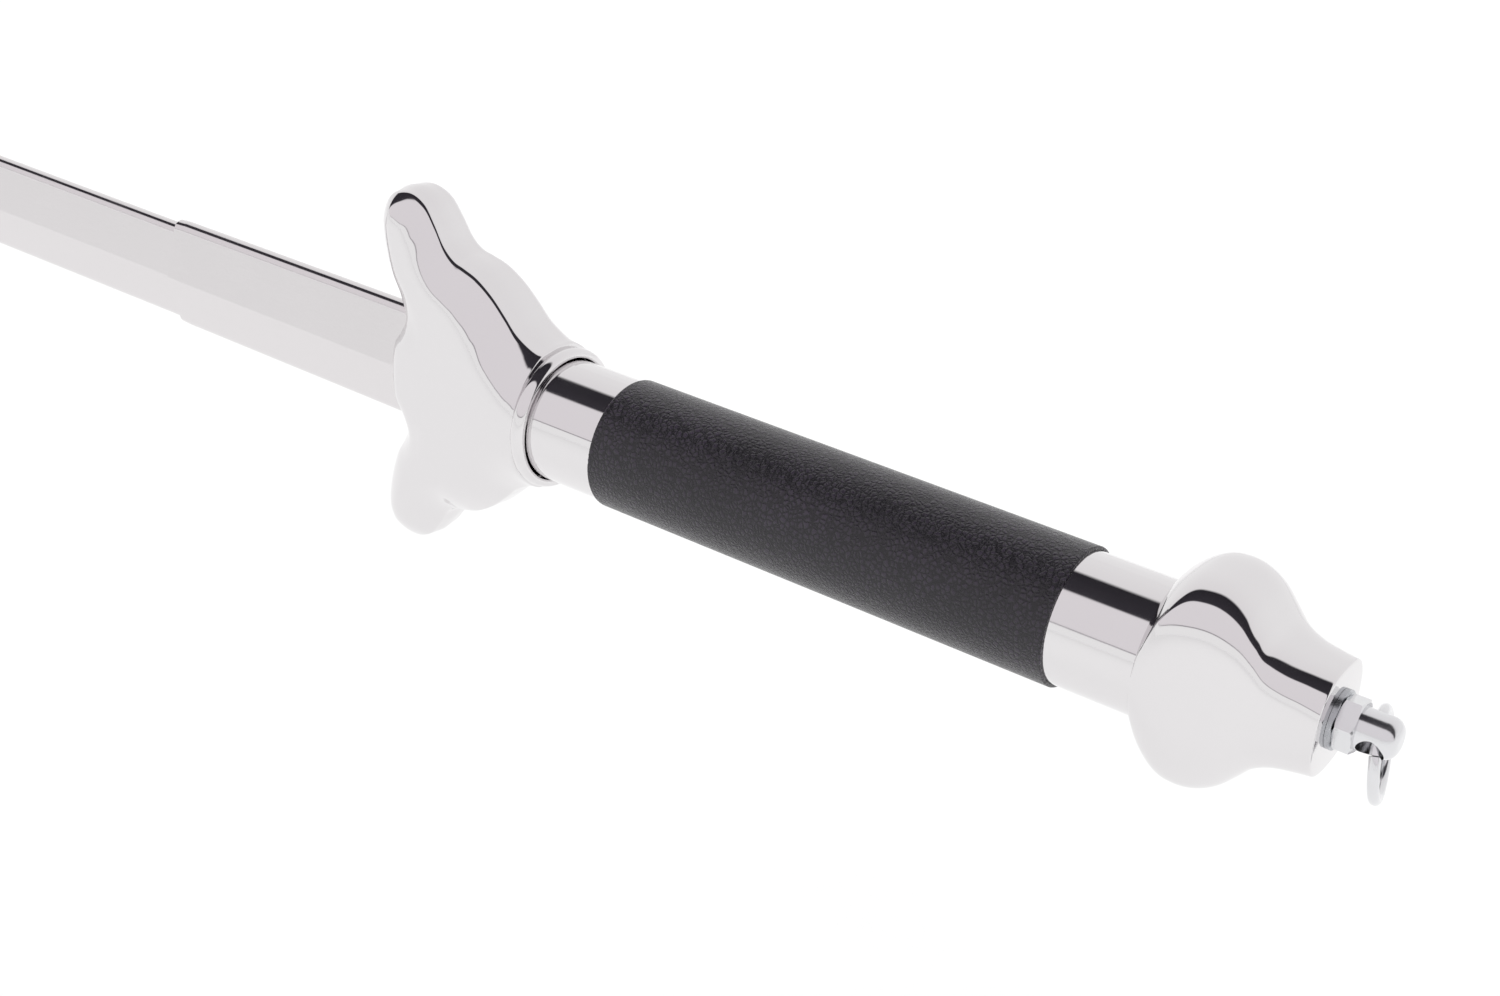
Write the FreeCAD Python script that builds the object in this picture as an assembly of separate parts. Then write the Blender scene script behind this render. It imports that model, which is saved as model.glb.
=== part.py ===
"""Telescopic practice sword: polished guard and pommel, leather grip, nested blade.

+X runs along the axis to the blade tip, +Z towards one guard wing and +Y out of
one flat side of the blade.  The origin is the centre of the leather grip.
Sizes are in millimetres.  The blade is drawn fully pulled out.
"""
import FreeCAD
import Part
import math
import os

V = FreeCAD.Vector

# handle
GRIP_HALF = 60.0
GRIP_R = 15.8
TUBE_R = 15.0
TUBE_WALL = 1.5
TUBE_FRONT = 87.0
TUBE_REAR = -88.0
GUARD_REAR = 79.0
POMMEL_FRONT = -80.5
POMMEL_END = -117.8
GAP = 0.05

# guard: upper half of its outline, from the handle lip round to the blade exit
GUARD_OUTLINE = [
    (79.0, 16.9), (81.5, 18.0), (85.5, 18.4), (90.0, 20.8), (93.6, 24.4), (98.0, 28.4), (103.0, 31.5),
    (107.5, 32.9), (111.0, 33.8), (114.0, 36.2), (117.0, 40.8), (120.6, 45.2), (125.8, 47.4),
    (131.4, 45.6), (134.4, 40.0), (134.0, 33.0), (131.6, 25.0), (127.8, 19.0), (125.6, 15.0),
    (126.8, 11.4), (129.4, 7.2),
]
GUARD_NOSE = 130.2
GUARD_SIDE = [(78.0, 17.1), (84.0, 16.6), (136.0, 8.07)]
WEB_REAR = 87.2
WEB_FRONT = 90.0

# pommel: upper half of its outline, front to back
POMMEL_OUTLINE = [
    (-80.5, 17.6), (-82.0, 20.6), (-84.6, 23.8), (-89.5, 25.8), (-95.0, 25.2), (-99.4, 22.2),
    (-102.4, 18.4), (-105.2, 15.2), (-109.0, 13.2), (-114.0, 12.2), (-118.5, 11.6),
]
POMMEL_SIDE = [(-79.5, 16.6), (-86.0, 17.4), (-95.0, 16.6), (-104.0, 13.6), (-112.0, 12.0), (-119.5, 11.4)]

# blade
SECTIONS = 7
W1 = 29.9
T1 = 11.6
W_STEP = 2.8
T_STEP = 1.35
WALL = 0.35
EDGE_R = 2.6
LIP_1 = 214.0
PITCH = 102.0
OVERLAP = 13.0
FLARE = 0.75
FLARE_LEN = 6.0
NECK_LEN = 3.0
CLEAR = 0.3
ROOT = 90.2
TIP_OUT = 25.0

# fastenings
ROD_R = 3.0
ROD_FRONT = 97.0
ROD_REAR = -122.9
PLUG_LEN = 9.5
PIN_R = 1.5
WASHER_R = 6.4
WASHER_T = 1.0
HEX_AF = 10.4
HEX_LEN = 4.0
BARREL_R = 4.5
BARREL_END = -131.0
EYE_X = -126.4
EYE_R = 2.9
EYE_TILT = 57.0
RING_LEAN = -15.0
WIRE_R = 1.2
RING_R = 9.05


def save(shape, name):
    """Write one node."""
    shape.exportStep("parts/" + name + ".step")


def tube_x(outer, inner, x0, x1):
    """A cylinder along X, hollow when inner is above zero."""
    body = Part.makeCylinder(outer, x1 - x0, V(x0, 0, 0), V(1, 0, 0))
    if inner > 0:
        body = body.cut(Part.makeCylinder(inner, x1 - x0 + 2, V(x0 - 1, 0, 0), V(1, 0, 0)))
    return body


def lozenge(width, thick, edge_r, x):
    """Closed lozenge wire at one x: a ridge on each face, a rounded edge at each side."""
    half_w = width / 2.0
    half_t = thick / 2.0
    c = half_w - edge_r
    # tangent from the ridge point to the edge circle
    dist = math.hypot(c, half_t)
    base = math.atan2(-half_t, c)
    lean = math.acos(edge_r / dist)
    ang = math.pi + base + lean
    tz = c + edge_r * math.cos(ang - 2 * math.pi * math.floor(ang / (2 * math.pi)))
    ty = edge_r * math.sin(ang)
    if ty < 0:
        ang = math.pi + base - lean
        tz = c + edge_r * math.cos(ang)
        ty = edge_r * math.sin(ang)
    top = V(x, half_t, 0)
    bottom = V(x, -half_t, 0)
    edges = [
        Part.LineSegment(top, V(x, ty, tz)).toShape(),
        Part.Arc(V(x, ty, tz), V(x, 0, half_w), V(x, -ty, tz)).toShape(),
        Part.LineSegment(V(x, -ty, tz), bottom).toShape(),
        Part.LineSegment(bottom, V(x, -ty, -tz)).toShape(),
        Part.Arc(V(x, -ty, -tz), V(x, 0, -half_w), V(x, ty, -tz)).toShape(),
        Part.LineSegment(V(x, ty, -tz), top).toShape(),
    ]
    return Part.Wire(edges)


def lozenge_bar(stations):
    """Solid through lozenges given as (x, width, thick, edge radius)."""
    solid = None
    for a, b in zip(stations[:-1], stations[1:]):
        part = Part.makeLoft([lozenge(a[1], a[2], a[3], a[0]), lozenge(b[1], b[2], b[3], b[0])], True, True)
        solid = part if solid is None else solid.fuse(part)
    return solid.removeSplitter()


def size_of(k):
    """Outer width, thickness and edge radius of section k, 1 at the guard."""
    w = W1 - W_STEP * (k - 1)
    t = T1 - T_STEP * (k - 1)
    return w, t, min(EDGE_R, t * 0.24)


def lip_x(k):
    """Front end of section k with the blade pulled out."""
    return LIP_1 + PITCH * (k - 1)


def section_1():
    """Fixed section: slightly tapered outside, necked in at its front lip."""
    w, t, r = size_of(1)
    root_w = w + 1.2
    end = lip_x(1)
    outer = lozenge_bar([
        (ROOT, root_w, t + 0.3, r), (end - NECK_LEN, w, t, r), (end, w - 0.4, t - 0.08, r)])
    shell = outer.cut(bore_of(1, ROOT - 1))
    return shell.cut(Part.makeCylinder(PIN_R + GAP, 20, V(ROOT + 3.6, -10, 10.0), V(0, 1, 0)))


def bore_of(k, x0):
    """Hollow of section k: full bore, then the narrow neck that stops the next flare."""
    w, t, r = size_of(k)
    nw, nt, nr = size_of(k + 1)
    end = lip_x(k)
    bore_t = t - 2.14 * WALL
    main = lozenge_bar([(x0, w - 2 * WALL, bore_t, r - WALL * 0.5), (end - 6.0, w - 2 * WALL, bore_t, r - WALL * 0.5)])
    neck = lozenge_bar([(end - 6.01, nw + 2 * CLEAR, nt + 2 * CLEAR, nr + CLEAR / 2),
                        (end + 1, nw + 2 * CLEAR, nt + 2 * CLEAR, nr + CLEAR / 2)])
    return main.fuse(neck)


def sliding_section(k):
    """Section that slides in section k - 1, with a flared stop at its rear."""
    w, t, r = size_of(k)
    end = lip_x(k)
    x0 = lip_x(k - 1) - OVERLAP
    stations = [(x0, w + 2 * FLARE, t, r), (x0 + FLARE_LEN, w + 2 * FLARE, t, r),
                (x0 + FLARE_LEN + 1.2, w, t, r)]
    if k < SECTIONS:
        stations += [(end - NECK_LEN, w, t, r), (end, w - 0.6, t - 0.15, r)]
        outer = lozenge_bar(stations)
        return outer.cut(bore_of(k, x0 - 1))
    stations.append((end, w, t, r))
    outer = lozenge_bar(stations)
    inner = lozenge_bar([(x0 - 1, w - 2 * WALL, t - 2.14 * WALL, r - WALL * 0.5),
                         (end + 1, w - 2 * WALL, t - 2.14 * WALL, r - WALL * 0.5)])
    return outer.cut(inner)


def blade_tip():
    """Solid pointed end: a plug inside the last section and a rounded point ahead of it."""
    w, t, r = size_of(SECTIONS)
    end = lip_x(SECTIONS)
    plug = lozenge_bar([(end - 12, w - 2 * WALL - 0.1, t - 2.14 * WALL - 0.1, r - WALL * 0.5),
                        (end + 0.5, w - 2 * WALL - 0.1, t - 2.14 * WALL - 0.1, r - WALL * 0.5)])
    ahead = lozenge_bar([(end + GAP, w, t, r), (end + TIP_OUT, w, t, r)])
    h = w / 2.0
    wire = Part.makePolygon([
        V(end - 1, 10, -h - 1), V(end + 6, 10, -h - 0.2), V(end + TIP_OUT - 3.5, 10, -2.6),
        V(end + TIP_OUT - 0.8, 10, -1.2), V(end + TIP_OUT, 10, 0), V(end + TIP_OUT - 0.8, 10, 1.2),
        V(end + TIP_OUT - 3.5, 10, 2.6), V(end + 6, 10, h + 0.2), V(end - 1, 10, h + 1),
        V(end - 1, 10, -h - 1)])
    cutter = Part.Face(wire).extrude(V(0, -20, 0))
    return plug.fuse(ahead.common(cutter)).removeSplitter()


def base_plug():
    """Block in the root of section 1, bored for the tie rod and the cross pin."""
    w, t, r = size_of(1)
    x1 = ROOT + PLUG_LEN
    block = lozenge_bar([(ROOT, w - 2 * WALL - 0.1, t - 2.14 * WALL - 0.1, r - WALL * 0.5),
                         (x1, w - 2 * WALL - 0.1, t - 2.14 * WALL - 0.1, r - WALL * 0.5)])
    block = block.cut(tube_x(ROD_R + GAP, 0, ROOT - 1, ROD_FRONT + 0.3))
    return block.cut(Part.makeCylinder(PIN_R + GAP, 20, V(ROOT + 3.6, -10, 10.0), V(0, 1, 0)))


def base_plug_pin():
    """Cross pin through section 1 and its plug."""
    return Part.makeCylinder(PIN_R, 5.6, V(ROOT + 3.6, -2.8, 10.0), V(0, 1, 0))


def bumper_pad():
    """Rubber pad that the collapsed sections meet."""
    w, t, r = size_of(2)
    x0 = ROOT + PLUG_LEN + GAP
    return lozenge_bar([(x0, w, t - 0.8, r), (x0 + 3.2, w, t - 0.8, r)])


def half_outline(points, nose):
    """Closed spline through an outline and its mirror, as a wire in the XZ plane."""
    upper = [V(x, 0, z) for x, z in points]
    lower = [V(x, 0, -z) for x, z in reversed(points)]
    curve = Part.BSplineCurve()
    if nose is None:
        up = Part.BSplineCurve()
        up.interpolate(upper)
        down = Part.BSplineCurve()
        down.interpolate(lower)
        front = Part.LineSegment(lower[-1], upper[0]).toShape()
        back = Part.LineSegment(upper[-1], lower[0]).toShape()
        return Part.Wire([up.toShape(), back, down.toShape(), front])
    curve.interpolate(upper + [V(nose, 0, 0)] + lower)
    front = Part.LineSegment(lower[-1], upper[0]).toShape()
    return Part.Wire([curve.toShape(), front])


def slab(points, nose, side):
    """Outline extruded across Y and cut to a side profile given as (x, half thickness)."""
    body = Part.Face(half_outline(points, nose)).extrude(V(0, 60, 0))
    body.translate(V(0, -30, 0))
    profile = [V(x, y, -70) for x, y in side] + [V(x, -y, -70) for x, y in reversed(side)]
    profile.append(profile[0])
    wedge = Part.Face(Part.makePolygon(profile)).extrude(V(0, 0, 140))
    return body.common(wedge)


def round_rim(body, radius, x_keep):
    """Round the rim edges on both faces; edges lying on the plane x = x_keep stay sharp."""
    for r in (radius, radius * 0.75, radius * 0.5, radius * 0.3):
        rim = []
        for e in body.Edges:
            box = e.BoundBox
            flat = abs(box.XMin - x_keep) < 0.02 and abs(box.XMax - x_keep) < 0.02
            across = box.ZLength > 60 or abs(box.ZLength) > 0.98 * abs(box.ZMax - box.ZMin) and box.XLength < 0.01
            if not flat and not across and box.YLength < 12 and abs(box.Center.y) > 5:
                rim.append(e)
        try:
            out = body.makeFillet(r, rim)
            if out.isValid() and out.Volume > 0:
                return out
        except Exception:
            continue
    return body


def guard_casting():
    """Cast guard with two swept wings, a handle socket, a web and a blade slot."""
    body = slab(GUARD_OUTLINE, GUARD_NOSE, GUARD_SIDE)
    body = round_rim(body, 5.0, GUARD_REAR)
    body = body.cut(tube_x(TUBE_R + GAP, 0, GUARD_REAR - 1, WEB_REAR))
    body = body.cut(tube_x(ROD_R + 0.3, 0, WEB_REAR - 1, WEB_FRONT + 1))
    w, t, r = size_of(1)
    slot = lozenge_bar([(WEB_FRONT, w + 1.4, t + 0.5, r + 0.1), (GUARD_NOSE + 3, w + 1.0, t + 0.4, r + 0.1)])
    return body.cut(slot)


def pommel_casting():
    """Cast pommel: round shoulder, two side lobes and a short neck."""
    body = slab(POMMEL_OUTLINE, None, POMMEL_SIDE)
    body = round_rim(body, 6.0, POMMEL_FRONT)
    body = body.cut(Part.makeBox(10, 80, 80, V(POMMEL_END - 10, -40, -40)))
    body = body.cut(tube_x(TUBE_R + GAP, 0, TUBE_REAR - 0.2, POMMEL_FRONT + 2))
    return body.cut(tube_x(ROD_R + 0.3, 0, POMMEL_END - 1, TUBE_REAR + 1))


def handle_tube():
    """Polished steel tube; its ends show as bright collars beside the leather."""
    return tube_x(TUBE_R, TUBE_R - TUBE_WALL, TUBE_REAR, TUBE_FRONT)


def grip_sleeve():
    """Leather sleeve with softly rounded ends."""
    body = tube_x(GRIP_R, TUBE_R + GAP, -GRIP_HALF, GRIP_HALF)
    rims = [e for e in body.Edges if abs(e.BoundBox.YMax - GRIP_R) < 0.01 and e.BoundBox.XLength < 0.01]
    return body.makeFillet(0.35, rims)


def bush(x0, x1):
    """Nylon bush that centres the tie rod in an end of the handle tube."""
    return tube_x(TUBE_R - TUBE_WALL - GAP, ROD_R + GAP, x0, x1)


def tie_rod():
    """Threaded rod from the base plug to the eye nut."""
    body = tube_x(ROD_R, 0, ROD_REAR, ROD_FRONT)
    return body.makeChamfer(0.5, [e for e in body.Edges if e.BoundBox.XLength < 0.01])


def pommel_washer():
    """Flat washer on the end of the pommel."""
    return tube_x(WASHER_R, ROD_R + 0.2, POMMEL_END - GAP - WASHER_T, POMMEL_END - GAP)


def eye_direction():
    """Unit direction of the cross hole."""
    a = math.radians(EYE_TILT)
    return V(0, -math.sin(a), math.cos(a))


def tassel_eye_nut():
    """Hexagon nut with a domed barrel and a cross hole for the ring."""
    x0 = POMMEL_END - 2 * GAP - WASHER_T
    r = HEX_AF / math.sqrt(3.0)
    pts = [V(x0, r * math.cos(math.radians(60 * i + 15)), r * math.sin(math.radians(60 * i + 15)))
           for i in range(7)]
    hexa = Part.Face(Part.makePolygon(pts)).extrude(V(-HEX_LEN, 0, 0))
    cone_1 = Part.makeCone(r - 0.7, r - 0.7 + 1.8 * HEX_LEN, HEX_LEN, V(x0, 0, 0), V(-1, 0, 0))
    cone_2 = Part.makeCone(r - 0.7, r - 0.7 + 1.8 * HEX_LEN, HEX_LEN, V(x0 - HEX_LEN, 0, 0), V(1, 0, 0))
    hexa = hexa.common(cone_1).common(cone_2)
    barrel = tube_x(BARREL_R, 0, BARREL_END, x0 - HEX_LEN + 0.5)
    end = [e for e in barrel.Edges if abs(e.BoundBox.XMax - BARREL_END) < 0.01]
    barrel = barrel.makeFillet(2.9, end)
    body = hexa.fuse(barrel).removeSplitter()
    body = body.cut(tube_x(ROD_R + GAP, 0, ROD_REAR - 0.3, x0 + 1))
    d = eye_direction()
    hole = Part.makeCylinder(EYE_R, 20, V(EYE_X, 0, 0) - d * 10, d)
    return body.cut(hole)


def tassel_ring():
    """Round wire ring with a butt joint, hanging in the cross hole."""
    a = math.radians(EYE_TILT)
    out = V(0, -math.cos(a), -math.sin(a))
    centre = V(EYE_X, 0, 0) + out * (RING_R - 0.45)
    ring = Part.makeTorus(RING_R, WIRE_R, centre, V(1, 0, 0))
    cut = Part.makeBox(6, 0.25, 6, V(EYE_X - 3, -0.125, RING_R - 3))
    cut.rotate(V(0, 0, 0), V(1, 0, 0), -62)
    cut.translate(V(0, centre.y, centre.z))
    ring = ring.cut(cut)
    ring.rotate(V(EYE_X, 0, 0), out, RING_LEAN)
    return ring


def build():
    """Make and write every node."""
    os.makedirs("parts", exist_ok=True)
    save(guard_casting(), "guard_casting")
    save(pommel_casting(), "pommel_casting")
    save(handle_tube(), "handle_tube")
    save(grip_sleeve(), "grip_sleeve")
    save(bush(TUBE_FRONT - 10, TUBE_FRONT), "front_bush")
    save(bush(TUBE_REAR, TUBE_REAR + 10), "rear_bush")
    save(tie_rod(), "tie_rod")
    save(pommel_washer(), "pommel_washer")
    save(tassel_eye_nut(), "tassel_eye_nut")
    save(tassel_ring(), "tassel_ring")
    save(base_plug(), "base_plug")
    save(base_plug_pin(), "base_plug_pin")
    save(bumper_pad(), "bumper_pad")
    save(section_1(), "blade_section_1")
    for k in range(2, SECTIONS + 1):
        save(sliding_section(k), "blade_section_" + str(k))
    save(blade_tip(), "blade_tip")


build()
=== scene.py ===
"""Studio scene of the telescopic practice sword: mirror castings, leather grip, steel blade.

Lengths are in metres unless a name ends in _mm.
"""
import logging
import math
from dataclasses import dataclass
from typing import Dict, List, Optional, Sequence, Tuple

import bmesh
import bpy
import numpy as np
from mathutils import Matrix, Vector
from mathutils.geometry import delaunay_2d_cdt


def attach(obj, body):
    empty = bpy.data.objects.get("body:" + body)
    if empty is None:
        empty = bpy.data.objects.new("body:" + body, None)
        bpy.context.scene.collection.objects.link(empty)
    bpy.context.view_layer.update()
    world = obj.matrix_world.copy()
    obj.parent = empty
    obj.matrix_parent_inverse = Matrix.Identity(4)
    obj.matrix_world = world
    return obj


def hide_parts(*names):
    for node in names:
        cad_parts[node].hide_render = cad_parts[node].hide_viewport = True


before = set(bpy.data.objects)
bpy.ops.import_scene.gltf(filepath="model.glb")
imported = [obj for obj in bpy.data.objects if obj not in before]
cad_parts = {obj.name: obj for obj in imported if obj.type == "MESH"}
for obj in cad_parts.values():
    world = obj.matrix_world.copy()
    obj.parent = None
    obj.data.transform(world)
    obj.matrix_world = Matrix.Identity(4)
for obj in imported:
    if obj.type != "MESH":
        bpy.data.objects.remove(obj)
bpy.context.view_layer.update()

log = logging.getLogger("sword")
MM = 0.001
Point = Tuple[float, float]
Knots = Tuple[Point, ...]
Station = Tuple[float, float, float, float]
Material = bpy.types.Material
Tree = bpy.types.NodeTree
Node = bpy.types.Node

SHARP_DEG = 50.0
SPLINE_STEPS = 14
LINE_STEP = 0.8
ACROSS_STEPS = 34
EDGE_STEPS = 5
RINGS = 12
RING_GAP = 0.7
RING_REACH = 9.0
CELL = 0.5


def linear(code: str) -> Tuple[float, float, float, float]:
    """Turn an sRGB hex colour into linear RGBA.

    Args:
        code: six hex digits.
    Returns:
        Four floats for a shader socket.
    """
    out = []
    for i in (0, 2, 4):
        c = int(code[i:i + 2], 16) / 255.0
        out.append(c / 12.92 if c <= 0.04045 else ((c + 0.055) / 1.055) ** 2.4)
    return out[0], out[1], out[2], 1.0


def smooth(a: float, b: float, x: np.ndarray) -> np.ndarray:
    """Smooth step from 0 at a to 1 at b.

    Args:
        a: start of the ramp.
        b: end of the ramp.
        x: where to read it.
    Returns:
        Values from 0 to 1.
    """
    t = np.clip((x - a) / (b - a), 0.0, 1.0)
    return t * t * (3.0 - 2.0 * t)


def add_node(
    tree: Tree, kind: str, settings: Optional[Dict] = None, inputs: Optional[Dict] = None
) -> Node:
    """Add a shader node, set it and link it.

    Args:
        tree: node tree.
        kind: node type name.
        settings: attribute name to value.
        inputs: socket name or index to a value or to an output socket.
    Returns:
        The node.
    """
    node = tree.nodes.new(kind)
    for name, value in (settings or {}).items():
        setattr(node, name, value)
    for key, value in (inputs or {}).items():
        if isinstance(value, bpy.types.NodeSocket):
            tree.links.new(value, node.inputs[key])
        else:
            node.inputs[key].default_value = value
    return node


def new_material(name: str) -> Tuple[Material, Tree, Node]:
    """Empty node material with one Principled shader.

    Args:
        name: material name.
    Returns:
        The material, its tree and the shader node.
    """
    mat = bpy.data.materials.new(name)
    mat.use_nodes = True
    tree = mat.node_tree
    tree.nodes.clear()
    shader = tree.nodes.new("ShaderNodeBsdfPrincipled")
    out = tree.nodes.new("ShaderNodeOutputMaterial")
    tree.links.new(shader.outputs["BSDF"], out.inputs["Surface"])
    return mat, tree, shader


@dataclass(frozen=True)
class MetalFinish:
    """A bright metal: mirror or satin, with faint handling marks and a slight waviness."""

    name: str
    colour: str
    roughness: float
    wave_mm: float = 0.0
    wave_size_mm: float = 14.0
    marks: float = 0.0

    def build(self) -> Material:
        """Make the material.

        Returns:
            The material.
        """
        mat, tree, shader = new_material(self.name)
        shader.inputs["Base Color"].default_value = linear(self.colour)
        shader.inputs["Metallic"].default_value = 1.0
        shader.inputs["Roughness"].default_value = self.roughness
        coord = add_node(tree, "ShaderNodeTexCoord").outputs["Object"]
        if self.marks > 0:
            # hairline wiping marks: they break the mirror into a softer sheen here and there
            stretch = add_node(tree, "ShaderNodeMapping", inputs={
                0: coord, "Scale": (60.0, 900.0, 900.0)})
            hair = add_node(tree, "ShaderNodeTexNoise", inputs={
                "Vector": stretch.outputs[0], "Scale": 1.0, "Detail": 4.0, "Roughness": 0.6})
            cloud = add_node(tree, "ShaderNodeTexNoise", inputs={
                "Vector": coord, "Scale": 70.0, "Detail": 3.0})
            both = add_node(tree, "ShaderNodeMath", {"operation": "MULTIPLY"}, {
                0: hair.outputs[0], 1: cloud.outputs[0]})
            level = add_node(tree, "ShaderNodeMapRange", inputs={
                "Value": both.outputs[0], "From Min": 0.18, "From Max": 0.45,
                "To Min": self.roughness, "To Max": self.roughness + self.marks})
            tree.links.new(level.outputs[0], shader.inputs["Roughness"])
        if self.wave_mm > 0:
            # slow polishing waves: they bend the reflected edges like hand buffing does
            wave = add_node(tree, "ShaderNodeTexNoise", inputs={
                "Vector": coord, "Scale": 1000.0 / self.wave_size_mm,
                "Detail": 1.5, "Roughness": 0.4})
            bump = add_node(tree, "ShaderNodeBump", inputs={
                "Height": wave.outputs[0], "Distance": self.wave_mm * MM, "Strength": 1.0})
            tree.links.new(bump.outputs[0], shader.inputs["Normal"])
        return mat


@dataclass(frozen=True)
class LeatherFinish:
    """Black split leather with a fine pressed grain and a waxy top coat."""

    name: str = "black_leather_pressed"
    dark: str = "0D0A11"
    light: str = "362D3D"
    grain_mm: float = 1.25
    relief_mm: float = 0.11
    fine_share: float = 1.1
    smoothest: float = 0.2
    roughest: float = 0.36

    def build(self) -> Material:
        """Make the material.

        Returns:
            The material.
        """
        mat, tree, shader = new_material(self.name)
        coord = add_node(tree, "ShaderNodeTexCoord").outputs["Object"]
        warp = add_node(tree, "ShaderNodeTexNoise", inputs={
            "Vector": coord, "Scale": 900.0, "Detail": 3.0})
        push = add_node(tree, "ShaderNodeVectorMath", {"operation": "SCALE"}, {
            0: warp.outputs["Color"], "Scale": 0.0009})
        moved = add_node(tree, "ShaderNodeVectorMath", {"operation": "ADD"}, {
            0: coord, 1: push.outputs[0]})
        # pebble cells with creases between them: the pressed grain
        cells = add_node(tree, "ShaderNodeTexVoronoi", {"feature": "DISTANCE_TO_EDGE"}, {
            "Vector": moved.outputs[0], "Scale": 1000.0 / self.grain_mm})
        crease = add_node(tree, "ShaderNodeMapRange", {"interpolation_type": "SMOOTHSTEP"}, {
            "Value": cells.outputs["Distance"], "From Min": 0.0, "From Max": 0.32,
            "To Min": 0.0, "To Max": 1.0})
        fine = add_node(tree, "ShaderNodeTexNoise", inputs={
            "Vector": coord, "Scale": 2600.0, "Detail": 4.0, "Roughness": 0.6})
        height = add_node(tree, "ShaderNodeMath", {"operation": "MULTIPLY_ADD"}, {
            0: fine.outputs[0], 1: self.fine_share, 2: crease.outputs[0]})
        bump = add_node(tree, "ShaderNodeBump", inputs={
            "Height": height.outputs[0], "Distance": self.relief_mm * MM, "Strength": 0.9})
        tree.links.new(bump.outputs[0], shader.inputs["Normal"])
        # painted shade: the colour goes dark in the grain's creases, where shade falls, and the
        # cell tops turn lighter in random patches
        patch = add_node(tree, "ShaderNodeTexNoise", inputs={
            "Vector": coord, "Scale": 60.0, "Detail": 3.0})
        crease_shade_patches = add_node(tree, "ShaderNodeMath", {"operation": "MULTIPLY"}, {
            0: crease.outputs[0], 1: patch.outputs[0]})
        colour = add_node(tree, "ShaderNodeMix", {"data_type": "RGBA"}, {
            0: crease_shade_patches.outputs[0], 6: linear(self.dark), 7: linear(self.light)})
        tree.links.new(colour.outputs[2], shader.inputs["Base Color"])
        rough = add_node(tree, "ShaderNodeMapRange", inputs={
            "Value": fine.outputs[0], "From Min": 0.3, "From Max": 0.7,
            "To Min": self.smoothest, "To Max": self.roughest})
        tree.links.new(rough.outputs[0], shader.inputs["Roughness"])
        shader.inputs["IOR"].default_value = 1.5
        return mat


@dataclass(frozen=True)
class PlasticFinish:
    """Moulded nylon or rubber for the hidden pieces: even colour with a faint mottle."""

    name: str
    colour: str
    roughness: float

    def build(self) -> Material:
        """Make the material.

        Returns:
            The material.
        """
        mat, tree, shader = new_material(self.name)
        coord = add_node(tree, "ShaderNodeTexCoord").outputs["Object"]
        cloud = add_node(tree, "ShaderNodeTexNoise", inputs={
            "Vector": coord, "Scale": 300.0, "Detail": 3.0})
        r, g, b, a = linear(self.colour)
        colour = add_node(tree, "ShaderNodeMix", {"data_type": "RGBA"}, {
            0: cloud.outputs[0], 6: (r * 0.85, g * 0.85, b * 0.85, a), 7: (r, g, b, a)})
        tree.links.new(colour.outputs[2], shader.inputs["Base Color"])
        shader.inputs["Roughness"].default_value = self.roughness
        return mat


def spline(points: Sequence[Point], steps: int) -> List[Point]:
    """Smooth curve through points, open ended.

    Args:
        points: knots.
        steps: pieces between two knots.
    Returns:
        Points of the curve.
    """
    out: List[Point] = []
    n = len(points)
    for i in range(n - 1):
        p0 = points[i - 1] if i > 0 else points[i]
        p1, p2 = points[i], points[i + 1]
        p3 = points[i + 2] if i + 2 < n else points[i + 1]
        for s in range(steps):
            t = s / steps
            pt = []
            for a, b, c, d in zip(p0, p1, p2, p3):
                pt.append(0.5 * (2 * b + (c - a) * t + (2 * a - 5 * b + 4 * c - d) * t * t
                                 + (3 * b - a - 3 * c + d) * t * t * t))
            out.append((pt[0], pt[1]))
    out.append((points[-1][0], points[-1][1]))
    return out


def resample(line: Sequence[Point], step: float) -> List[Point]:
    """Walk along a line and put points at an even spacing.

    Args:
        line: dense points.
        step: wanted spacing.
    Returns:
        Evenly spaced points with both ends kept.
    """
    lengths = [0.0]
    for a, b in zip(line[:-1], line[1:]):
        lengths.append(lengths[-1] + math.dist(a, b))
    count = max(2, round(lengths[-1] / step))
    out: List[Point] = []
    j = 0
    for k in range(count + 1):
        want = lengths[-1] * k / count
        while j < len(line) - 2 and lengths[j + 1] < want:
            j += 1
        span = lengths[j + 1] - lengths[j]
        t = 0.0 if span == 0 else (want - lengths[j]) / span
        out.append((line[j][0] + (line[j + 1][0] - line[j][0]) * t,
                    line[j][1] + (line[j + 1][1] - line[j][1]) * t))
    return out


class Profile:
    """A smooth value along X, read from a few knots."""

    def __init__(self, knots: Sequence[Point]) -> None:
        """Store the knots.

        Args:
            knots: (x, value) with rising x.
        """
        self.x = np.array([k[0] for k in knots])
        self.v = np.array([k[1] for k in knots])
        slope = np.diff(self.v) / np.diff(self.x)
        self.m = np.concatenate([[slope[0]], (slope[:-1] + slope[1:]) / 2.0, [slope[-1]]])

    def at(self, x: np.ndarray) -> np.ndarray:
        """Read the value.

        Args:
            x: places.
        Returns:
            Values, held at the ends.
        """
        x = np.clip(x, self.x[0], self.x[-1])
        i = np.clip(np.searchsorted(self.x, x) - 1, 0, len(self.x) - 2)
        h = self.x[i + 1] - self.x[i]
        t = (x - self.x[i]) / h
        start = (2 * t ** 3 - 3 * t ** 2 + 1) * self.v[i]
        leave = (t ** 3 - 2 * t ** 2 + t) * h * self.m[i]
        stop = (-2 * t ** 3 + 3 * t ** 2) * self.v[i + 1]
        arrive = (t ** 3 - t ** 2) * h * self.m[i + 1]
        return start + leave + stop + arrive


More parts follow.
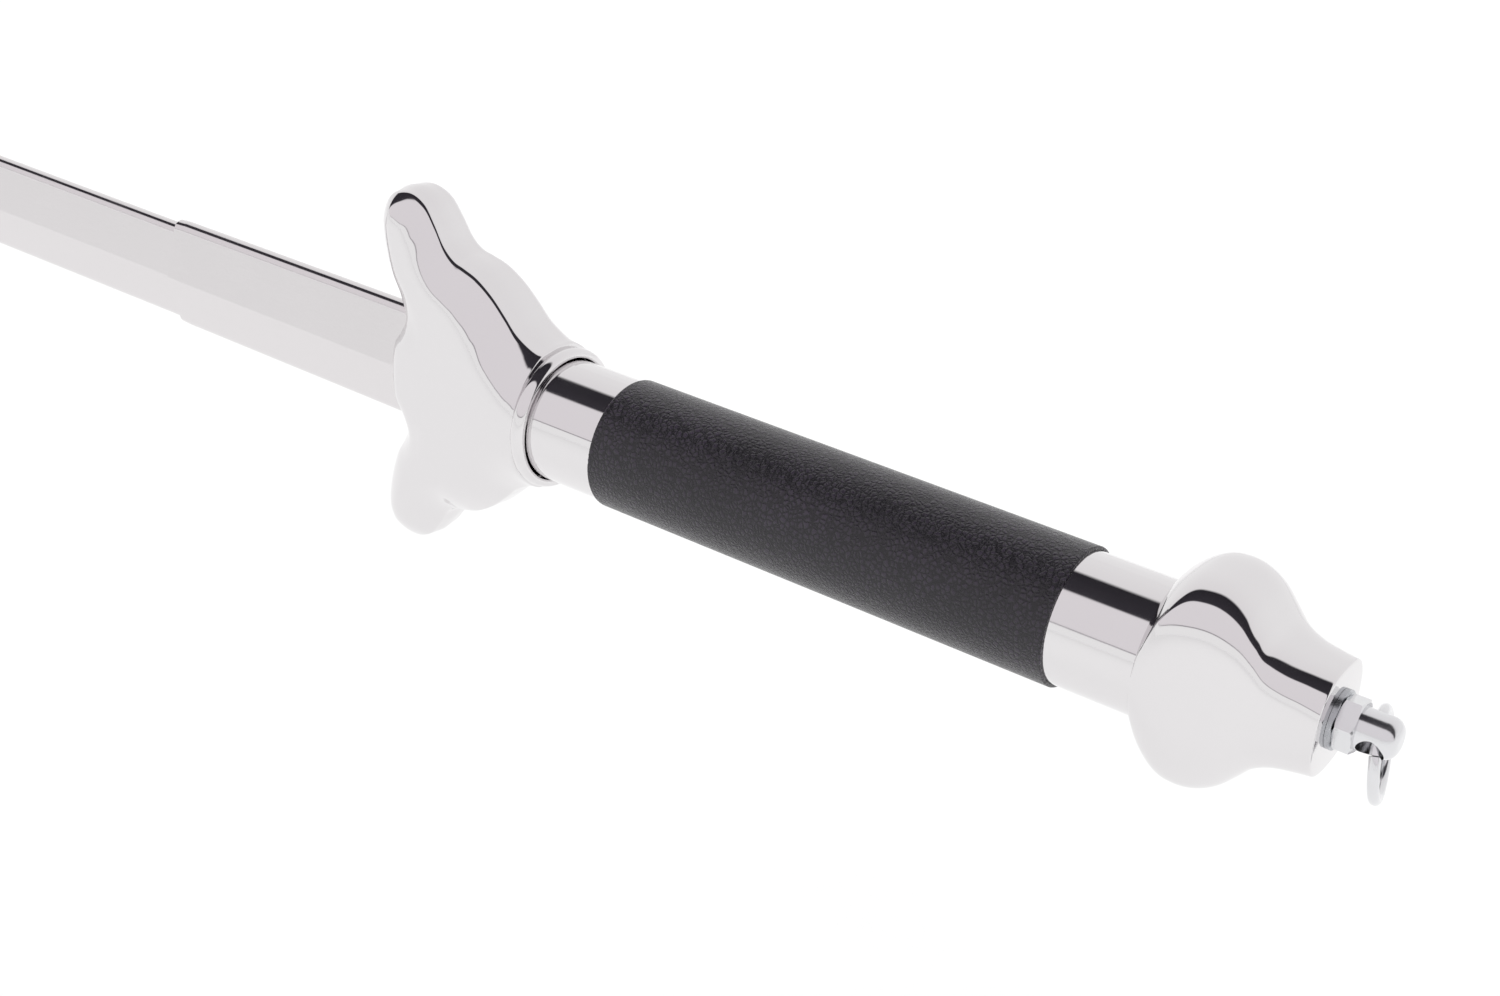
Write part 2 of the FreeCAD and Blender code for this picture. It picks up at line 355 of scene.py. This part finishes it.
@dataclass
class Pillow:
    """A polished casting: an outline in X and Z, a side wall, a tight edge and a pillowed face.

    Sizes are in millimetres.  The outline is the upper half, from the open handle end to the
    nose; the lower half mirrors it.
    """

    upper: Sequence[Point]
    nose: float
    height: Profile
    rim: Profile
    roundness: Profile
    wall: float
    edge: float
    lean_deg: float
    step: float = 1.2
    bulge: float = 0.45
    mouth: float = 0.0
    mouth_x: float = 118.0
    mouth_z: float = 12.0
    mouth_fade_x: float = 5.0
    mouth_fade_z: float = 11.0

    def line(self) -> np.ndarray:
        """Side line, once round the nose.

        Returns:
            Evenly spaced points.
        """
        mirrored = [(x, -z) for x, z in reversed(self.upper)]
        knots = list(self.upper) + [(self.nose, 0.0)] + mirrored
        return np.array(resample(spline(knots, SPLINE_STEPS), LINE_STEP))

    @staticmethod
    def distance(line: np.ndarray, pts: np.ndarray) -> np.ndarray:
        """Distance of points to the side line.

        Args:
            line: side line.
            pts: points, one per row.
        Returns:
            Distances.
        """
        best = np.full(len(pts), 1e9)
        for a, b in zip(line[:-1], line[1:]):
            d = b - a
            t = np.clip(((pts - a) @ d) / (d @ d), 0.0, 1.0)
            best = np.minimum(best, np.linalg.norm(pts - a - t[:, None] * d, axis=1))
        return best

    def side_wall(self, pts: np.ndarray, full: np.ndarray) -> np.ndarray:
        """Height of the side wall, raised round the mouth that a blade comes out of.

        Args:
            pts: points, one per row.
            full: full half thickness at those points.
        Returns:
            Wall heights.
        """
        low = self.wall * full
        x, z = pts[:, 0], np.abs(pts[:, 1])
        along = smooth(self.mouth_x, self.mouth_x + self.mouth_fade_x, x)
        across = 1.0 - smooth(self.mouth_z, self.mouth_z + self.mouth_fade_z, z)
        return low + np.maximum(0.0, self.mouth - low) * along * across

    def lift(self, line: np.ndarray, pts: np.ndarray) -> np.ndarray:
        """Half thickness at points of the outline's plane.

        Args:
            line: side line.
            pts: points, one per row.
        Returns:
            Heights above the middle plane.
        """
        d = self.distance(line, pts)
        full = self.height.at(pts[:, 0])
        u = np.clip(d / self.rim.at(pts[:, 0]), 0.0, 1.0)
        turned = full * np.sqrt(np.maximum(0.0, 1.0 - (1.0 - u) ** 2))
        lean = math.radians(self.lean_deg)
        low = self.side_wall(pts, full)
        d_face = self.edge * (1.0 - math.sin(lean))
        top = low + self.edge * math.cos(lean)
        reach = 2.0 * (full - top) / math.tan(lean)
        v = np.clip((d - d_face) / reach, 0.0, 1.0)
        face = full - (full - top) * (1.0 - v) ** 2
        near_edge = np.clip(d, 0.0, self.edge)
        corner = low + np.sqrt(np.maximum(0.0, 2.0 * self.edge * near_edge - near_edge ** 2))
        carved = np.where(d < d_face, corner, face)
        w = self.roundness.at(pts[:, 0])
        return w * turned + (1.0 - w) * carved

    def inset(self, line: np.ndarray, d: float) -> np.ndarray:
        """A side line moved inwards; its ends stay in their end planes.

        Args:
            line: the side line.
            d: how far.
        Returns:
            The moved line.
        """
        tangent = np.gradient(line, axis=0)
        tangent /= np.linalg.norm(tangent, axis=1)[:, None]
        normal = np.stack([tangent[:, 1], -tangent[:, 0]], 1)
        normal[0] = (0.0, -math.copysign(1.0, line[0][1]))
        normal[-1] = (0.0, -math.copysign(1.0, line[-1][1]))
        return line + normal * d

    def across(self, x: float, z: float) -> List[Point]:
        """Points across an open end, close together near the sides.

        Args:
            x: where the end is.
            z: half width there.
        Returns:
            Points from the lower side to the upper one, both left out.
        """
        turns = [math.pi * k / ACROSS_STEPS for k in range(1, ACROSS_STEPS)]
        return [(x, -z * math.cos(a)) for a in turns]

    def face_points(self, line: np.ndarray, d_face: float) -> Tuple[List[Point], int]:
        """Points of one face: its boundary first, then rings and a grid.

        Args:
            line: side line.
            d_face: how far in the face begins.
        Returns:
            The points and how many of them are the boundary.
        """
        loop = [tuple(p) for p in self.inset(line, d_face)]
        loop += self.across(*loop[0])
        cells: Dict[Tuple[int, int], Point] = {}
        for k in range(1, RINGS + 1):
            d = d_face + RING_GAP * k
            ring = self.inset(line, d)[1:-1]
            keep = self.distance(line, ring) > d - 0.1
            for p in ring[keep]:
                cells.setdefault((round(p[0] / CELL), round(p[1] / CELL)), tuple(p))
        xs = [p[0] for p in loop]
        count = math.floor(max(p[1] for p in loop) / self.step)
        gx = np.arange(min(xs) + self.step, max(xs) - 0.4, self.step)
        gz = np.arange(-count, count + 1) * self.step
        grid = np.array([(x, z) for x in gx for z in gz])
        for p in grid[self.distance(line, grid) > d_face + RING_REACH]:
            cells.setdefault((round(p[0] / CELL), round(p[1] / CELL)), tuple(p))
        return loop + list(cells.values()), len(loop)

    def build(self, front: Sequence[Point]) -> bmesh.types.BMesh:
        """Make the casting.

        Args:
            front: steps that close the handle end, as (shrink, move along X).
        Returns:
            The mesh under construction.
        """
        line = self.line()
        d_face = self.edge * (1.0 - math.sin(math.radians(self.lean_deg)))
        quarter = [math.pi / 2 * k / EDGE_STEPS for k in range(EDGE_STEPS + 1)]
        steps = [d_face * (1.0 - math.cos(a)) for a in quarter]
        points, count = self.face_points(line, d_face)
        edges = [(i, (i + 1) % count) for i in range(count)]
        flat = delaunay_2d_cdt([Vector(p) for p in points], edges, [], 1, 1e-5)
        bm = bmesh.new()
        made: Dict[Tuple[int, int, int], bmesh.types.BMVert] = {}

        def place(pts: np.ndarray, side: int) -> List[bmesh.types.BMVert]:
            """Vertices over points on one side of the middle plane, each made only once."""
            out = []
            for (x, z), y in zip(pts, self.lift(line, pts)):
                key = (round(x * 1e4), round(z * 1e4), side)
                if key not in made:
                    made[key] = bm.verts.new((x * MM, side * y * MM, z * MM))
                out.append(made[key])
            return out

        flat_pts = np.array([(v.x, v.y) for v in flat[0]])
        near = place(flat_pts, 1)
        far = place(flat_pts, -1)
        for tri in flat[2]:
            bm.faces.new([near[i] for i in reversed(tri)])
            bm.faces.new([far[i] for i in tri])
        rows = [place(self.inset(line, d), 1) for d in reversed(steps)]
        edge_y = self.lift(line, line)
        out = self.inset(line, -1.0) - line
        for t in (0.5, 0.0, -0.5):
            pts = line + out * self.bulge * (1.0 - abs(t))
            row = [(x * MM, t * y * MM, z * MM) for (x, z), y in zip(pts, edge_y)]
            rows.append([bm.verts.new(co) for co in row])
        rows += [place(self.inset(line, d), -1) for d in steps]
        for a, b in zip(rows[:-1], rows[1:]):
            for i in range(len(a) - 1):
                bm.faces.new((a[i], a[i + 1], b[i + 1], b[i]))
        close_end(bm, self.upper[0][0], front)
        return bm


def close_end(bm: bmesh.types.BMesh, x_mm: float, steps: Sequence[Point]) -> None:
    """Close an open end with rings that shrink towards the axis.

    Args:
        bm: the casting so far.
        x_mm: where the open end is.
        steps: (shrink, move along X) of each ring, counted from the open end.
    """
    rim = [v for v in bm.verts if abs(v.co.x - x_mm * MM) < 1e-7]
    rim.sort(key=lambda v: math.atan2(v.co.z, v.co.y))
    count = len(rim)
    places = [v.co.copy() for v in rim]
    for shrink, move in steps:
        ring = []
        for p in places:
            r = math.hypot(p.y, p.z)
            k = (r - shrink * MM) / r
            ring.append(bm.verts.new((p.x + move * MM, p.y * k, p.z * k)))
        for i in range(count):
            j = (i + 1) % count
            bm.faces.new((rim[i], rim[j], ring[j], ring[i]))
        rim = ring
    bm.faces.new(rim)


def lathe(bm: bmesh.types.BMesh, profile: Sequence[Point], turns: int = 128) -> None:
    """Spin a closed ring section about the X axis.

    Args:
        bm: mesh to add to.
        profile: (x, radius) points of the section, in order.
        turns: how many steps go round.
    """
    verts = [bm.verts.new((x * MM, 0.0, r * MM)) for x, r in profile]
    pairs = zip(verts, verts[1:] + verts[:1])
    edges = [bm.edges.new(pair) for pair in pairs]
    bmesh.ops.spin(
        bm, geom=verts + edges, cent=(0, 0, 0), axis=(1, 0, 0), dvec=(0, 0, 0),
        angle=2 * math.pi, steps=turns, use_merge=True, use_duplicate=False)


def loft(bm: bmesh.types.BMesh, stations: Sequence[Station], around: int = 144) -> None:
    """Skin through squared-off ovals and close both ends.

    Args:
        bm: mesh to add to.
        stations: (x, half height in Z, half thickness in Y, squareness), end to end.
        around: points round each oval.
    """
    rows = []
    for x, a, b, n in stations:
        row = []
        for k in range(around):
            t = 2 * math.pi * k / around
            c, s = math.cos(t), math.sin(t)
            z = a * math.copysign(abs(c) ** (2.0 / n), c)
            y = b * math.copysign(abs(s) ** (2.0 / n), s)
            row.append(bm.verts.new((x * MM, y * MM, z * MM)))
        rows.append(row)
    for p, q in zip(rows[:-1], rows[1:]):
        for i in range(around):
            j = (i + 1) % around
            bm.faces.new((p[i], p[j], q[j], q[i]))
    bm.faces.new(rows[0])
    bm.faces.new(rows[-1])


def finish_object(
    name: str, bm: bmesh.types.BMesh, material: Material, sharp_deg: float
) -> bpy.types.Object:
    """Write a bmesh to a smooth shaded object.

    Args:
        name: piece name.
        bm: the mesh under construction; it is freed here.
        material: its finish.
        sharp_deg: edges over this angle stay crisp.
    Returns:
        The object.
    """
    bmesh.ops.recalc_face_normals(bm, faces=bm.faces)
    mesh = bpy.data.meshes.new(name)
    bm.to_mesh(mesh)
    bm.free()
    mesh.shade_smooth()
    mesh.set_sharp_from_angle(angle=math.radians(sharp_deg))
    mesh.materials.append(material)
    obj = bpy.data.objects.new(name, mesh)
    bpy.context.scene.collection.objects.link(obj)
    log.info("%s: %d vertices, %d faces", name, len(mesh.vertices), len(mesh.polygons))
    return obj


def lozenge_ring(half_w: float, half_t: float, edge_r: float, steps: int = 8) -> List[Point]:
    """Outline of the blade's cross-section.

    Args:
        half_w: half its width, in Z.
        half_t: half its thickness, in Y.
        edge_r: radius of its two edges.
        steps: points in each rounded edge.
    Returns:
        (y, z) points in order.
    """
    c = half_w - edge_r
    dist = math.hypot(c, half_t)
    reach = math.pi - math.atan2(half_t, c) - math.acos(edge_r / dist)
    upper = []
    for k in range(steps + 1):
        a = reach * (1.0 - 2.0 * k / steps)
        upper.append((edge_r * math.sin(a), c + edge_r * math.cos(a)))
    lower = [(-y, -z) for y, z in upper]
    return [(half_t, 0.0)] + upper + [(-half_t, 0.0)] + lower


def cut_slot(obj: bpy.types.Object, x0: float, x1: float, outline: Sequence[Point]) -> None:
    """Cut a prism along X out of a piece.

    Args:
        obj: piece to cut.
        x0: rear end of the cut.
        x1: front end of the cut.
        outline: (y, z) points of the cut.
    """
    bm = bmesh.new()
    rear = [bm.verts.new((x0 * MM, y * MM, z * MM)) for y, z in outline]
    front = [bm.verts.new((x1 * MM, y * MM, z * MM)) for y, z in outline]
    for i in range(len(outline)):
        j = (i + 1) % len(outline)
        bm.faces.new((rear[i], rear[j], front[j], front[i]))
    bm.faces.new(rear)
    bm.faces.new(front)
    cutter = finish_object(obj.name + "_cutter", bm, obj.data.materials[0], 30.0)
    step = obj.modifiers.new("slot", "BOOLEAN")
    step.operation = "DIFFERENCE"
    step.solver = "EXACT"
    step.use_hole_tolerant = True
    step.object = cutter
    graph = bpy.context.evaluated_depsgraph_get()
    cut = bpy.data.meshes.new_from_object(obj.evaluated_get(graph))
    cut.shade_smooth()
    cut.set_sharp_from_angle(angle=math.radians(SHARP_DEG))
    obj.modifiers.clear()
    old = obj.data
    old_cutter = cutter.data
    obj.data = cut
    bpy.data.objects.remove(cutter)
    bpy.data.meshes.remove(old)
    bpy.data.meshes.remove(old_cutter)
    log.info("%s after the slot: %d faces", obj.name, len(cut.polygons))


@dataclass(frozen=True)
class Guard:
    """The winged guard.  Sizes are in millimetres, and knots are (x, value)."""

    slot: str = "mirror_casting"
    outline: Knots = (
        (82.6, 17.7), (85.5, 18.3), (90.0, 20.8), (93.6, 24.4), (98.0, 28.4),
        (103.0, 31.5), (107.5, 32.9), (111.0, 33.8), (114.0, 36.2), (117.0, 40.8),
        (120.6, 45.2), (125.8, 47.0), (131.4, 45.2), (134.4, 40.0), (134.0, 33.0),
        (131.6, 25.0), (127.8, 19.0), (125.6, 15.0), (126.8, 11.4), (129.4, 7.2))
    nose: float = 130.2
    height: Knots = (
        (82.6, 16.5), (86.0, 16.1), (92.0, 15.0), (104.0, 13.2), (118.0, 10.9), (134.5, 8.4))
    rim: Knots = ((82.6, 17.0), (90.0, 16.0), (134.0, 8.0))
    roundness: Knots = ((82.6, 0.3), (86.0, 0.14), (92.0, 0.0), (134.0, 0.0))
    wall: float = 0.36
    edge: float = 2.4
    lean_deg: float = 52.0
    mouth: float = 5.7
    rear_steps: Knots = ((0.1, -0.12), (0.4, -0.2), (3.0, -0.2))
    bead: Knots = (
        (79.5, 15.3), (79.1, 15.6), (78.95, 16.1), (79.05, 16.6), (79.4, 17.0),
        (80.0, 17.35), (80.8, 17.5), (81.6, 17.4), (82.2, 17.1), (82.7, 16.6),
        (83.4, 16.2), (84.4, 16.0), (84.4, 15.3))
    slot_rear: float = 100.0
    slot_front: float = 142.0
    slot_half_w: float = 15.5
    slot_half_t: float = 6.05
    slot_edge_r: float = 2.7

    def build(self, material: Material) -> bpy.types.Object:
        """Make the guard.

        Args:
            material: its finish.
        Returns:
            The finished object.
        """
        body = Pillow(
            self.outline, self.nose, Profile(self.height), Profile(self.rim),
            Profile(self.roundness), self.wall, self.edge, self.lean_deg, mouth=self.mouth)
        bm = body.build(self.rear_steps)
        lathe(bm, self.bead)
        obj = finish_object("guard_skin", bm, material, SHARP_DEG)
        mouth = lozenge_ring(self.slot_half_w, self.slot_half_t, self.slot_edge_r)
        cut_slot(obj, self.slot_rear, self.slot_front, mouth)
        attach(obj, "hilt")
        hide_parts("guard_casting")
        return obj


@dataclass(frozen=True)
class Pommel:
    """The pommel, as squared-off ovals.  Sizes are in millimetres, and knots are (x, value)."""

    slot: str = "mirror_casting"
    tall: Knots = (
        (-117.4, 11.8), (-114.0, 12.1), (-109.0, 12.9), (-105.4, 14.7), (-102.8, 17.6),
        (-99.6, 20.9), (-95.0, 23.4), (-90.0, 23.9), (-86.5, 23.2), (-83.6, 21.4),
        (-81.6, 19.2), (-80.8, 17.4))
    thick: Knots = (
        (-117.4, 11.6), (-112.0, 11.8), (-106.0, 12.9), (-98.0, 15.2), (-90.0, 16.6),
        (-84.0, 16.9), (-80.8, 16.7))
    square: Knots = (
        (-117.4, 2.6), (-112.0, 2.9), (-105.0, 3.2), (-97.0, 3.5), (-89.0, 3.3),
        (-84.0, 2.6), (-80.8, 2.05))
    runs: Tuple[Tuple[float, float, int], ...] = (
        (-80.8, -84.0, 15), (-84.3, -106.0, 56), (-106.4, -117.4, 24))
    front_end: Knots = (
        (-83.0, 15.3), (-80.7, 15.3), (-80.45, 15.6), (-80.35, 16.1), (-80.45, 16.55))
    rear_end: Knots = ((-117.6, 11.65), (-117.75, 11.4), (-117.8, 11.0))
    rear_square: float = 2.6

    def build(self, material: Material) -> bpy.types.Object:
        """Make the pommel.

        Args:
            material: its finish.
        Returns:
            The finished object.
        """
        inner = np.concatenate([np.linspace(a, b, n) for a, b, n in self.runs])
        sizes = [Profile(self.tall), Profile(self.thick), Profile(self.square)]
        stations = [(x, r, r, 2.0) for x, r in self.front_end]
        stations += [(x, *(float(size.at(x)) for size in sizes)) for x in inner]
        stations += [(x, r, r, self.rear_square) for x, r in self.rear_end]
        bm = bmesh.new()
        loft(bm, stations)
        obj = finish_object("pommel_skin", bm, material, SHARP_DEG)
        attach(obj, "hilt")
        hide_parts("pommel_casting")
        return obj


@dataclass
class Studio:
    """Camera, pale floor and soft light."""

    camera_at: Tuple[float, float, float] = (-0.22413, 0.36760, 0.23690)
    look_at: Tuple[float, float, float] = (0.02403, 0.00087, -0.00135)
    roll_deg: float = 3.54
    lens_mm: float = 52.8
    floor_z: float = -0.16
    floor_half: float = 8.0
    lamp_size: float = 1.2
    lamp_watts: float = 3.0
    bands: Tuple[Tuple[float, str], ...] = (
        (-180.0, "FFFFFF"), (10.2, "FFFFFF"), (10.9, "8A858A"), (11.9, "8A858A"),
        (12.6, "F0ECEF"), (66.0, "F1EDF0"), (69.0, "38353B"), (103.0, "2C2A2F"),
        (108.0, "F4F2F3"), (180.0, "FFFFFF"))

    def camera(self) -> None:
        """Place the camera."""
        data = bpy.data.cameras.new("studio_camera")
        data.lens = self.lens_mm
        data.sensor_width = 36.0
        data.clip_start = 0.01
        data.clip_end = 60.0
        obj = bpy.data.objects.new("studio_camera", data)
        bpy.context.scene.collection.objects.link(obj)
        back = (Vector(self.camera_at) - Vector(self.look_at)).normalized()
        level = Vector((0, 0, 1)).cross(back).normalized()
        high = back.cross(level)
        a = math.radians(self.roll_deg)
        right = level * math.cos(a) + high * math.sin(a)
        up = back.cross(right)
        turn = Matrix((right, up, back)).transposed().to_4x4()
        obj.matrix_world = Matrix.Translation(self.camera_at) @ turn
        bpy.context.scene.camera = obj

    def floor(self) -> None:
        """Lay a plain pale floor under the object."""
        mat, _, shader = new_material("pale_floor")
        shader.inputs["Base Color"].default_value = linear("FAFAFA")
        shader.inputs["Roughness"].default_value = 0.9
        bm = bmesh.new()
        bmesh.ops.create_grid(bm, x_segments=1, y_segments=1, size=self.floor_half)
        bmesh.ops.translate(bm, verts=bm.verts, vec=(0, 0, self.floor_z))
        finish_object("studio_floor", bm, mat, 30.0)

    def world(self) -> None:
        """Light the studio by direction: white low and back, grey front, dark strip overhead."""
        world = bpy.data.worlds.new("studio_world")
        bpy.context.scene.world = world
        world.use_nodes = True
        tree = world.node_tree
        tree.nodes.clear()
        coord = add_node(tree, "ShaderNodeTexCoord").outputs["Generated"]
        part = add_node(tree, "ShaderNodeSeparateXYZ", inputs={0: coord})
        angle = add_node(tree, "ShaderNodeMath", {"operation": "ARCTAN2"}, {
            0: part.outputs[2], 1: part.outputs[1]})
        place = add_node(tree, "ShaderNodeMapRange", inputs={
            "Value": angle.outputs[0], "From Min": -math.pi, "From Max": math.pi,
            "To Min": 0.0, "To Max": 1.0})
        ramp = add_node(tree, "ShaderNodeValToRGB", inputs={0: place.outputs[0]})
        colours = ramp.color_ramp
        while len(colours.elements) < len(self.bands):
            colours.elements.new(0.5)
        for element, (deg, code) in zip(colours.elements, self.bands):
            element.position = (deg + 180.0) / 360.0
            element.color = linear(code)
        path = add_node(tree, "ShaderNodeLightPath")
        glossy = add_node(tree, "ShaderNodeMix", {"data_type": "RGBA"}, {
            0: path.outputs["Is Glossy Ray"], 6: linear("FFFFFF"), 7: ramp.outputs[0]})
        back = add_node(tree, "ShaderNodeBackground", inputs={
            "Color": glossy.outputs[2], "Strength": 1.0})
        out = add_node(tree, "ShaderNodeOutputWorld")
        tree.links.new(back.outputs[0], out.inputs["Surface"])

    def lamp(self, name: str, at: Tuple[float, float, float]) -> None:
        """Hang a soft square lamp that points at the handle.

        Args:
            name: lamp name.
            at: its place.
        """
        data = bpy.data.lights.new(name, "AREA")
        data.size = self.lamp_size
        data.energy = self.lamp_watts
        obj = bpy.data.objects.new(name, data)
        obj.location = at
        obj.rotation_euler = (-Vector(at)).to_track_quat("-Z", "Y").to_euler()
        obj.visible_glossy = False
        bpy.context.scene.collection.objects.link(obj)

    def build(self) -> None:
        """Set the whole studio up."""
        bpy.context.scene.view_settings.view_transform = "Standard"
        self.camera()
        self.floor()
        self.world()
        self.lamp("soft_key", (-0.6, 0.9, 1.4))
        self.lamp("soft_back", (0.4, -1.2, 0.9))


def dress(nodes: Sequence[str], material: Material) -> None:
    """Give CAD pieces their finish.

    Args:
        nodes: node names.
        material: the finish.
    """
    for name in nodes:
        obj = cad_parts[name]
        obj.data.materials.clear()
        obj.data.materials.append(material)
        log.info("%s wears %s", name, material.name)


def main() -> None:
    """Build the object and its studio."""
    mirror = MetalFinish("buffed_chrome_casting", "E1DFE0", 0.045, 0.02, 22.0, 0.05).build()
    tube = MetalFinish("buffed_chrome_tube", "E1DFE0", 0.05, 0.006, 16.0, 0.07).build()
    blade = MetalFinish("bright_blade_steel", "DEDBDC", 0.10, 0.006, 24.0, 0.10).build()
    bright = MetalFinish("bright_nickel_wire", "DEDEE0", 0.14, 0.01, 4.0, 0.10).build()
    zinc = MetalFinish("zinc_plated_steel", "B9BBBF", 0.26, 0.01, 5.0, 0.14).build()
    leather = LeatherFinish().build()
    nylon = PlasticFinish("moulded_white_nylon", "DAD8D0", 0.45).build()
    rubber = PlasticFinish("black_bumper_rubber", "232325", 0.75).build()
    Guard().build(mirror)
    Pommel().build(mirror)
    dress(["handle_tube"], tube)
    dress(["grip_sleeve"], leather)
    dress(["blade_section_%d" % k for k in range(1, 8)] + ["blade_tip"], blade)
    dress(["tassel_eye_nut", "tassel_ring"], bright)
    dress(["pommel_washer", "tie_rod", "base_plug_pin"], zinc)
    dress(["front_bush", "rear_bush", "base_plug"], nylon)
    dress(["bumper_pad"], rubber)
    Studio().build()


if __name__ == "__main__":
    logging.basicConfig(level=logging.INFO)
    main()
